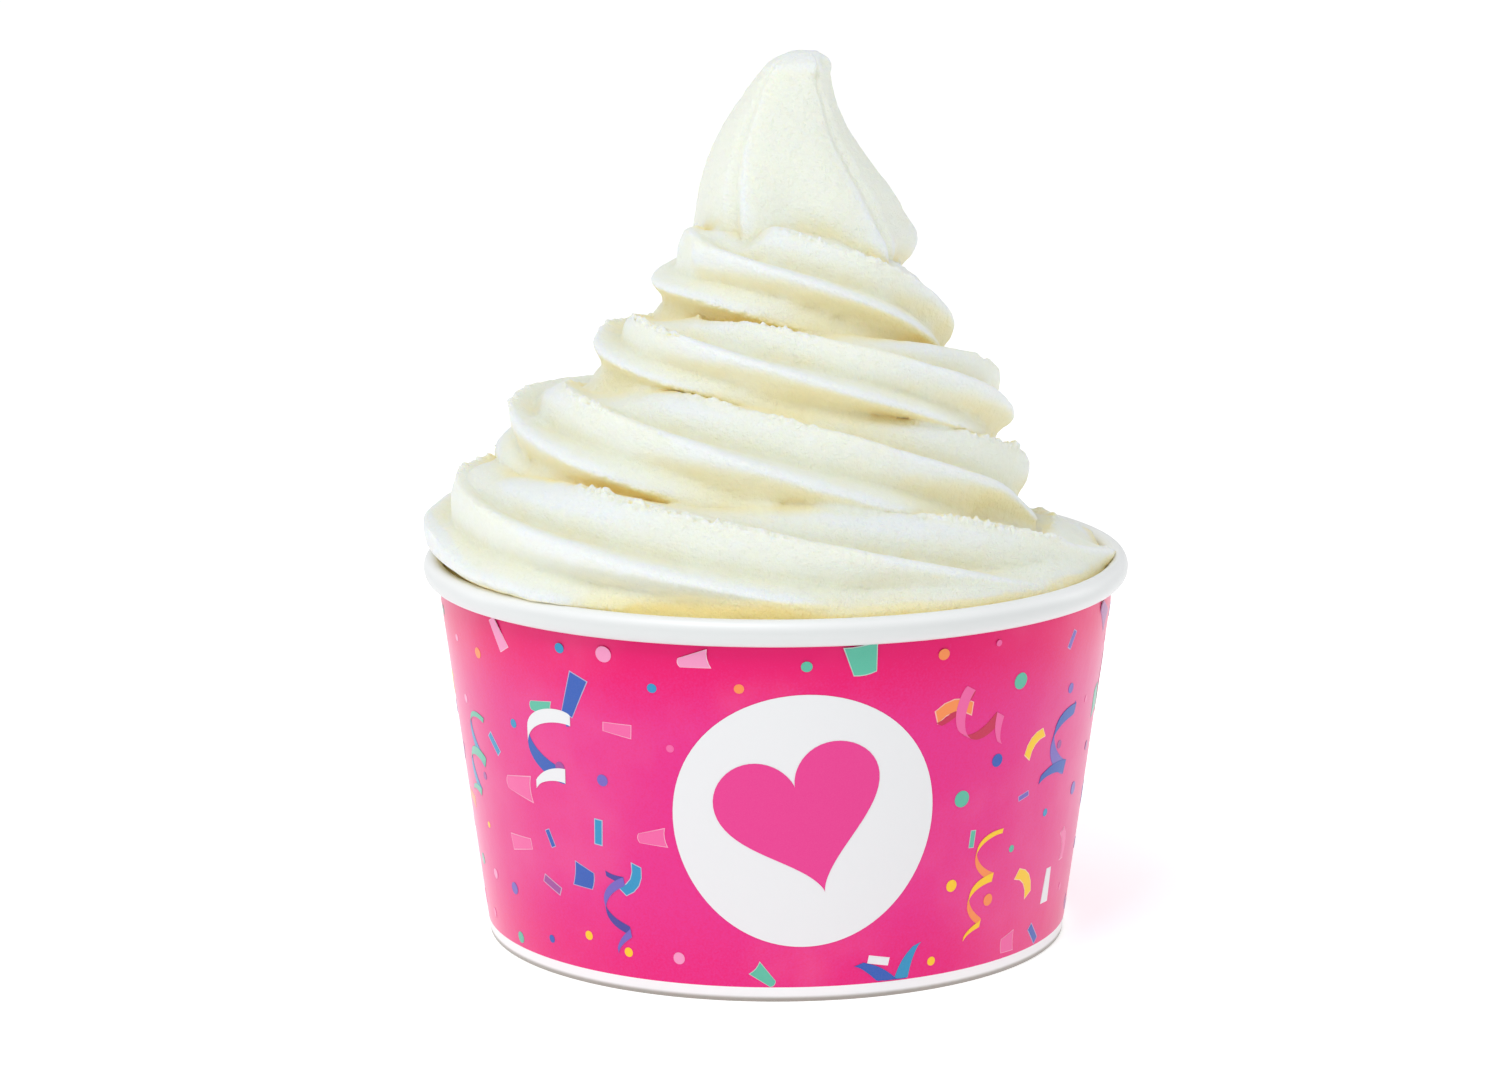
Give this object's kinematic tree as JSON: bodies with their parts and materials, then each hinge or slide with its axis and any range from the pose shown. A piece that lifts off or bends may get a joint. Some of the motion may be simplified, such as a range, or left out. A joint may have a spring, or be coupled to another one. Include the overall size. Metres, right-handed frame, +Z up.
{
  "type": "frozen yogurt cup",
  "caption": "Paper dessert cup with a rolled rim and a confetti print, filled with a tall ridged swirl of pale frozen yogurt drawn up to a soft point.",
  "frame": {"origin": "on the cup's axis, at the underside of the cup where it stands", "axes": "+Z up along the cup's axis, -Y the front, +X to the right as seen from the front"},
  "size_m": [0.112, 0.112, 0.1404],
  "materials": {
    "printed_paper": "coated paperboard, printed and glossy, with an unprinted white rim",
    "white_paper": "coated white paperboard, satin",
    "yogurt": "frozen yogurt, soft satin with a fine icy grain"
  },
  "bodies": {
    "root": {"cup_wall": "printed_paper", "cup_base": "white_paper", "yogurt_swirl": "yogurt"}
  },
  "joints": []
}
